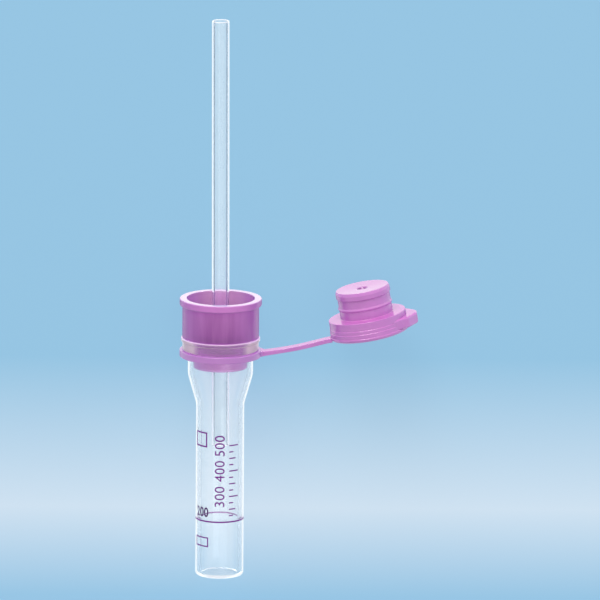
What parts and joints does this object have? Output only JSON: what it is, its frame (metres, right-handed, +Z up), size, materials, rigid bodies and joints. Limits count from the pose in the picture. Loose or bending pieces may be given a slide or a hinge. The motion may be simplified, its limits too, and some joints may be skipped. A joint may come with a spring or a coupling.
{
  "type": "blood collection tube",
  "caption": "Small clear blood collection tube with a violet capillary holder in its mouth, an open-ended capillary and a tethered stopper, lying on its side.",
  "frame": {"origin": "on the surface that the part lies on, under the middle of its bounding box", "axes": "+Y along the tube towards its mouth and the capillary's free end, +X towards the stopper, +Z up"},
  "size_m": [0.0358, 0.085, 0.0129],
  "materials": {
    "clear_tube": "clear moulded polypropylene",
    "clear_capillary": "clear extruded plastic",
    "violet_holder": "translucent violet moulded plastic",
    "lavender_stopper": "satin lavender moulded polyethylene",
    "print_ink": "dark violet print"
  },
  "bodies": {
    "tube": {"sample_tube": "clear_tube"},
    "holder": {"capillary_holder": "violet_holder", "capillary": "clear_capillary"},
    "ring": {"tether_ring": "lavender_stopper"},
    "strap_inner": {"strap_inner": "lavender_stopper"},
    "strap_middle": {"strap_middle": "lavender_stopper"},
    "strap_outer": {"strap_outer": "lavender_stopper"},
    "stopper": {"stopper_cap": "lavender_stopper"}
  },
  "joints": [
    {"name": "holder_pull", "type": "slide", "parent": "tube", "child": "holder", "axis": [0, 0.9971, 0.0761], "range_m": [0, 0.022]},
    {"name": "ring_turn", "type": "hinge", "parent": "tube", "child": "ring", "pos_m": [-0.01173, -0.00822, 0.00615], "axis": [0, 0.9971, 0.0761], "continuous": true},
    {"name": "strap_root_bend", "type": "hinge", "parent": "ring", "child": "strap_inner", "pos_m": [-0.005, -0.00821, 0.00603], "axis": [0.0188, -0.0761, 0.9969], "range_deg": [-60, 18.49]},
    {"name": "strap_inner_bend", "type": "hinge", "parent": "strap_inner", "child": "strap_middle", "pos_m": [-0.00139, -0.00764, 0.006], "axis": [0.0188, -0.0761, 0.9969], "range_deg": [-20, 61.97]},
    {"name": "strap_outer_bend", "type": "hinge", "parent": "strap_middle", "child": "strap_outer", "pos_m": [0.00076, -0.00719, 0.006], "axis": [0.0188, -0.0761, 0.9969], "range_deg": [-20, 62.16]},
    {"name": "stopper_bend", "type": "hinge", "parent": "strap_outer", "child": "stopper", "pos_m": [0.0043, -0.00629, 0.006], "axis": [0.0188, -0.0761, 0.9969], "range_deg": [-20, 26.88]}
  ]
}
